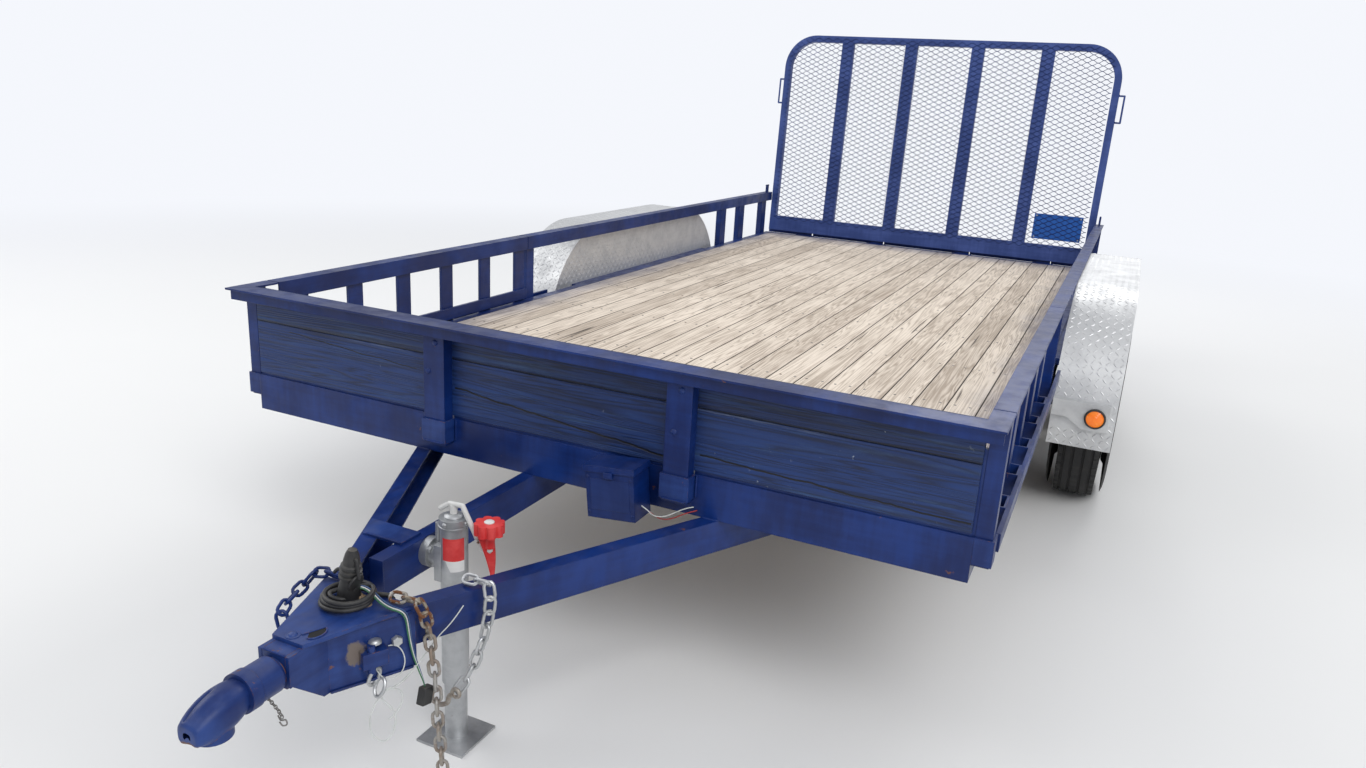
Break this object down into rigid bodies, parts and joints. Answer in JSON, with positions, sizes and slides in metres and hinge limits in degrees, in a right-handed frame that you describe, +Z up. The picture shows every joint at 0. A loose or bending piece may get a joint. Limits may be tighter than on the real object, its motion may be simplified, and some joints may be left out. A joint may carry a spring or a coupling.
{
  "type": "utility trailer",
  "caption": "Tandem-axle utility trailer with a board deck, low side rails, round-ended tread-plate fenders, a mesh ramp gate and a channel drawbar with coupler, chains and jack.",
  "frame": {"origin": "centre of the tow ball in the coupler's socket", "axes": "+Y from the coupler to the rear gate, +Z up, +X to the right when looking along +Y"},
  "size_m": [2.436, 5.1931, 1.763],
  "materials": {
    "blue_paint": "semi-gloss brushed paint, chipped",
    "deck_wood": "weathered bare boards",
    "blue_wood": "worn paint over open grain",
    "plate_blue": "satin blank plate",
    "zinc": "dull zinc plating",
    "white_metal": "white coating",
    "red_plastic": "faded gloss",
    "tread_plate": "bright tread plate",
    "amber_lens": "clear moulded lens",
    "red_lens": "clear moulded lens",
    "black_rubber": "matt, dusty",
    "galvanised": "galvanised, dull",
    "rusty_chain": "zinc with rust",
    "black_steel": "satin, road dirt",
    "tyre": "worn rubber",
    "rim_white": "gloss enamel, dusty"
  },
  "bodies": {
    "trailer": {"frame_side_beams": "blue_paint", "frame_crossmembers": "blue_paint", "deck_crossmembers": "blue_paint", "tongue_beams": "blue_paint", "tongue_plates": "blue_paint", "coupler_head": "blue_paint", "coupler_collar": "blue_paint", "headboard_cap": "blue_paint", "headboard_stakes": "blue_paint", "stake_pockets": "blue_paint", "side_rails": "blue_paint", "rail_uprights": "blue_paint", "rail_bottom_bars": "blue_paint", "rail_posts": "blue_paint", "latch_pins": "blue_paint", "rub_rails": "blue_paint", "battery_box": "blue_paint", "breakaway_switch": "blue_paint", "safety_chain_left": "blue_paint", "gate_hinge_pins": "blue_paint", "fender_bars": "blue_paint", "deck_planks": "deck_wood", "headboard_boards": "blue_wood", "jack_mount": "zinc", "jack_tube": "zinc", "jack_leg": "zinc", "jack_crank": "white_metal", "jack_knob": "red_plastic", "fender_left": "tread_plate", "fender_right": "tread_plate", "fender_panels": "tread_plate", "marker_lamps": "amber_lens", "tail_lamps": "red_lens", "lamp_bezels": "black_rubber", "cable_coil": "black_rubber", "trailer_plug": "black_rubber", "safety_chain_spare": "galvanised", "safety_chain_right": "rusty_chain", "axles": "black_steel", "leaf_springs": "black_steel", "spring_hangers": "black_steel", "spring_equalisers": "black_steel"},
    "gate": {"gate_frame": "blue_paint", "gate_mesh": "blue_paint", "gate_plate": "plate_blue", "gate_hinge_knuckles": "blue_paint"},
    "wheel_front_left": {"wheel_front_left_tyre": "tyre", "wheel_front_left_rim": "rim_white"},
    "wheel_front_right": {"wheel_front_right_tyre": "tyre", "wheel_front_right_rim": "rim_white"},
    "wheel_rear_left": {"wheel_rear_left_tyre": "tyre", "wheel_rear_left_rim": "rim_white"},
    "wheel_rear_right": {"wheel_rear_right_tyre": "tyre", "wheel_rear_right_rim": "rim_white"}
  },
  "joints": [
    {"name": "gate_hinge", "type": "hinge", "parent": "trailer", "child": "gate", "pos_m": [0, 5.057, 0.138], "axis": [-1, 0, 0], "range_deg": [0, 110]},
    {"name": "wheel_front_left_turn", "type": "hinge", "parent": "trailer", "child": "wheel_front_left", "pos_m": [-1.116, 2.958, -0.065], "axis": [1, 0, 0], "continuous": true},
    {"name": "wheel_front_right_turn", "type": "hinge", "parent": "trailer", "child": "wheel_front_right", "pos_m": [1.116, 2.958, -0.065], "axis": [1, 0, 0], "continuous": true},
    {"name": "wheel_rear_left_turn", "type": "hinge", "parent": "trailer", "child": "wheel_rear_left", "pos_m": [-1.116, 3.796, -0.065], "axis": [1, 0, 0], "continuous": true},
    {"name": "wheel_rear_right_turn", "type": "hinge", "parent": "trailer", "child": "wheel_rear_right", "pos_m": [1.116, 3.796, -0.065], "axis": [1, 0, 0], "continuous": true}
  ]
}
